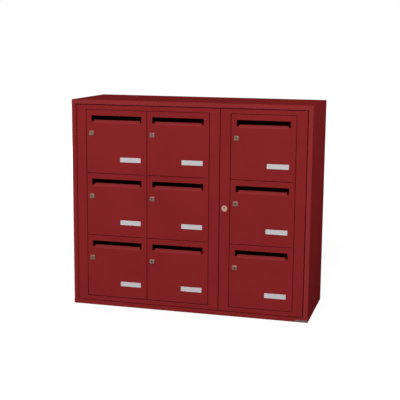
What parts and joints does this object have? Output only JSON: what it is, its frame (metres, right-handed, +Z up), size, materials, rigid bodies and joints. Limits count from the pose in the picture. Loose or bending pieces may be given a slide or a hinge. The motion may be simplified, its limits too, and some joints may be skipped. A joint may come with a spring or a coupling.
{
  "type": "wall-mounted cluster mailbox",
  "caption": "Wall-mounted block of letterboxes in folded painted steel: lockable mail doors with slots, set in two hinged collective doors with a main lock.",
  "frame": {"origin": "centre of the wall bolt pattern on the wall plane, in the middle of the back panel", "axes": "+X to the right as seen from the front, +Y into the wall, +Z up; the doors face -Y"},
  "size_m": [1, 0.3725, 0.866],
  "materials": {
    "red_paint": "deep red powder coat, satin, fine orange peel",
    "bare_steel": "zinc-plated steel, satin",
    "lock": "nickel-plated lock, worn satin",
    "main_lock": "warm nickel and brass lock face, satin",
    "name_plate": "pale grey name plate with a blank field"
  },
  "bodies": {
    "cabinet": {"left_side_panel": "red_paint", "right_side_panel": "red_paint", "top_panel": "red_paint", "bottom_panel": "red_paint", "back_panel": "red_paint", "left_divider": "red_paint", "right_divider": "red_paint", "upper_shelf": "red_paint", "lower_shelf": "red_paint", "leaf_pivot_pins": "bare_steel"},
    "left_leaf": {"left_leaf_frame": "red_paint", "left_leaf_mullion": "red_paint", "left_leaf_crossbars": "red_paint", "left_leaf_hinge_rods": "bare_steel", "bolt_guides": "red_paint"},
    "right_leaf": {"right_leaf_frame": "red_paint", "right_leaf_crossbars": "red_paint", "right_leaf_hinge_rods": "bare_steel", "main_lock_body": "main_lock"},
    "top_bolt": {"top_bolt": "bare_steel"},
    "bottom_bolt": {"bottom_bolt": "bare_steel"},
    "main_lock": {"main_lock_rotor": "main_lock"},
    "mail_door_c1_r1": {"door_c1_r1": "red_paint", "name_plate_c1_r1": "name_plate", "lock_body_c1_r1": "lock"},
    "door_lock_c1_r1": {"lock_rotor_c1_r1": "lock"},
    "mail_door_c1_r2": {"door_c1_r2": "red_paint", "name_plate_c1_r2": "name_plate", "lock_body_c1_r2": "lock"},
    "door_lock_c1_r2": {"lock_rotor_c1_r2": "lock"},
    "mail_door_c1_r3": {"door_c1_r3": "red_paint", "name_plate_c1_r3": "name_plate", "lock_body_c1_r3": "lock"},
    "door_lock_c1_r3": {"lock_rotor_c1_r3": "lock"},
    "mail_door_c2_r1": {"door_c2_r1": "red_paint", "name_plate_c2_r1": "name_plate", "lock_body_c2_r1": "lock"},
    "door_lock_c2_r1": {"lock_rotor_c2_r1": "lock"},
    "mail_door_c2_r2": {"door_c2_r2": "red_paint", "name_plate_c2_r2": "name_plate", "lock_body_c2_r2": "lock"},
    "door_lock_c2_r2": {"lock_rotor_c2_r2": "lock"},
    "mail_door_c2_r3": {"door_c2_r3": "red_paint", "name_plate_c2_r3": "name_plate", "lock_body_c2_r3": "lock"},
    "door_lock_c2_r3": {"lock_rotor_c2_r3": "lock"},
    "mail_door_c3_r1": {"door_c3_r1": "red_paint", "name_plate_c3_r1": "name_plate", "lock_body_c3_r1": "lock"},
    "door_lock_c3_r1": {"lock_rotor_c3_r1": "lock"},
    "mail_door_c3_r2": {"door_c3_r2": "red_paint", "name_plate_c3_r2": "name_plate", "lock_body_c3_r2": "lock"},
    "door_lock_c3_r2": {"lock_rotor_c3_r2": "lock"},
    "mail_door_c3_r3": {"door_c3_r3": "red_paint", "name_plate_c3_r3": "name_plate", "lock_body_c3_r3": "lock"},
    "door_lock_c3_r3": {"lock_rotor_c3_r3": "lock"}
  },
  "joints": [
    {"name": "left_leaf_hinge", "type": "hinge", "parent": "cabinet", "child": "left_leaf", "pos_m": [-0.4698, -0.3585, 0], "axis": [0, 0, -1], "range_deg": [0, 110]},
    {"name": "right_leaf_hinge", "type": "hinge", "parent": "cabinet", "child": "right_leaf", "pos_m": [0.4698, -0.3585, 0], "axis": [0, 0, 1], "range_deg": [0, 110]},
    {"name": "main_lock_turn", "type": "hinge", "parent": "right_leaf", "child": "main_lock", "pos_m": [0.15285, -0.365, 0.0131], "axis": [0, 1, 0], "range_deg": [0, 90]},
    {"name": "top_bolt_slide", "type": "slide", "parent": "left_leaf", "child": "top_bolt", "axis": [0, 0, 1], "range_m": [0, 0.014]},
    {"name": "bottom_bolt_slide", "type": "slide", "parent": "left_leaf", "child": "bottom_bolt", "axis": [0, 0, -1], "range_m": [0, 0.014]},
    {"name": "mail_door_hinge_c1_r1", "type": "hinge", "parent": "left_leaf", "child": "mail_door_c1_r1", "pos_m": [-0.181, -0.3615, 0.262], "axis": [0, 0, 1], "range_deg": [0, 95]},
    {"name": "door_lock_turn_c1_r1", "type": "hinge", "parent": "mail_door_c1_r1", "child": "door_lock_c1_r1", "pos_m": [-0.4127, -0.365, 0.297], "axis": [0, 1, 0], "range_deg": [0, 90]},
    {"name": "mail_door_hinge_c1_r2", "type": "hinge", "parent": "left_leaf", "child": "mail_door_c1_r2", "pos_m": [-0.181, -0.3615, 0], "axis": [0, 0, 1], "range_deg": [0, 95]},
    {"name": "door_lock_turn_c1_r2", "type": "hinge", "parent": "mail_door_c1_r2", "child": "door_lock_c1_r2", "pos_m": [-0.4127, -0.365, 0.035], "axis": [0, 1, 0], "range_deg": [0, 90]},
    {"name": "mail_door_hinge_c1_r3", "type": "hinge", "parent": "left_leaf", "child": "mail_door_c1_r3", "pos_m": [-0.181, -0.3615, -0.262], "axis": [0, 0, 1], "range_deg": [0, 95]},
    {"name": "door_lock_turn_c1_r3", "type": "hinge", "parent": "mail_door_c1_r3", "child": "door_lock_c1_r3", "pos_m": [-0.4127, -0.365, -0.227], "axis": [0, 1, 0], "range_deg": [0, 90]},
    {"name": "mail_door_hinge_c2_r1", "type": "hinge", "parent": "left_leaf", "child": "mail_door_c2_r1", "pos_m": [0.081, -0.3615, 0.262], "axis": [0, 0, 1], "range_deg": [0, 95]},
    {"name": "door_lock_turn_c2_r1", "type": "hinge", "parent": "mail_door_c2_r1", "child": "door_lock_c2_r1", "pos_m": [-0.1507, -0.365, 0.297], "axis": [0, 1, 0], "range_deg": [0, 90]},
    {"name": "mail_door_hinge_c2_r2", "type": "hinge", "parent": "left_leaf", "child": "mail_door_c2_r2", "pos_m": [0.081, -0.3615, 0], "axis": [0, 0, 1], "range_deg": [0, 95]},
    {"name": "door_lock_turn_c2_r2", "type": "hinge", "parent": "mail_door_c2_r2", "child": "door_lock_c2_r2", "pos_m": [-0.1507, -0.365, 0.035], "axis": [0, 1, 0], "range_deg": [0, 90]},
    {"name": "mail_door_hinge_c2_r3", "type": "hinge", "parent": "left_leaf", "child": "mail_door_c2_r3", "pos_m": [0.081, -0.3615, -0.262], "axis": [0, 0, 1], "range_deg": [0, 95]},
    {"name": "door_lock_turn_c2_r3", "type": "hinge", "parent": "mail_door_c2_r3", "child": "door_lock_c2_r3", "pos_m": [-0.1507, -0.365, -0.227], "axis": [0, 1, 0], "range_deg": [0, 90]},
    {"name": "mail_door_hinge_c3_r1", "type": "hinge", "parent": "right_leaf", "child": "mail_door_c3_r1", "pos_m": [0.43, -0.3615, 0.262], "axis": [0, 0, 1], "range_deg": [0, 95]},
    {"name": "door_lock_turn_c3_r1", "type": "hinge", "parent": "mail_door_c3_r1", "child": "door_lock_c3_r1", "pos_m": [0.1983, -0.365, 0.297], "axis": [0, 1, 0], "range_deg": [0, 90]},
    {"name": "mail_door_hinge_c3_r2", "type": "hinge", "parent": "right_leaf", "child": "mail_door_c3_r2", "pos_m": [0.43, -0.3615, 0], "axis": [0, 0, 1], "range_deg": [0, 95]},
    {"name": "door_lock_turn_c3_r2", "type": "hinge", "parent": "mail_door_c3_r2", "child": "door_lock_c3_r2", "pos_m": [0.1983, -0.365, 0.035], "axis": [0, 1, 0], "range_deg": [0, 90]},
    {"name": "mail_door_hinge_c3_r3", "type": "hinge", "parent": "right_leaf", "child": "mail_door_c3_r3", "pos_m": [0.43, -0.3615, -0.262], "axis": [0, 0, 1], "range_deg": [0, 95]},
    {"name": "door_lock_turn_c3_r3", "type": "hinge", "parent": "mail_door_c3_r3", "child": "door_lock_c3_r3", "pos_m": [0.1983, -0.365, -0.227], "axis": [0, 1, 0], "range_deg": [0, 90]}
  ]
}
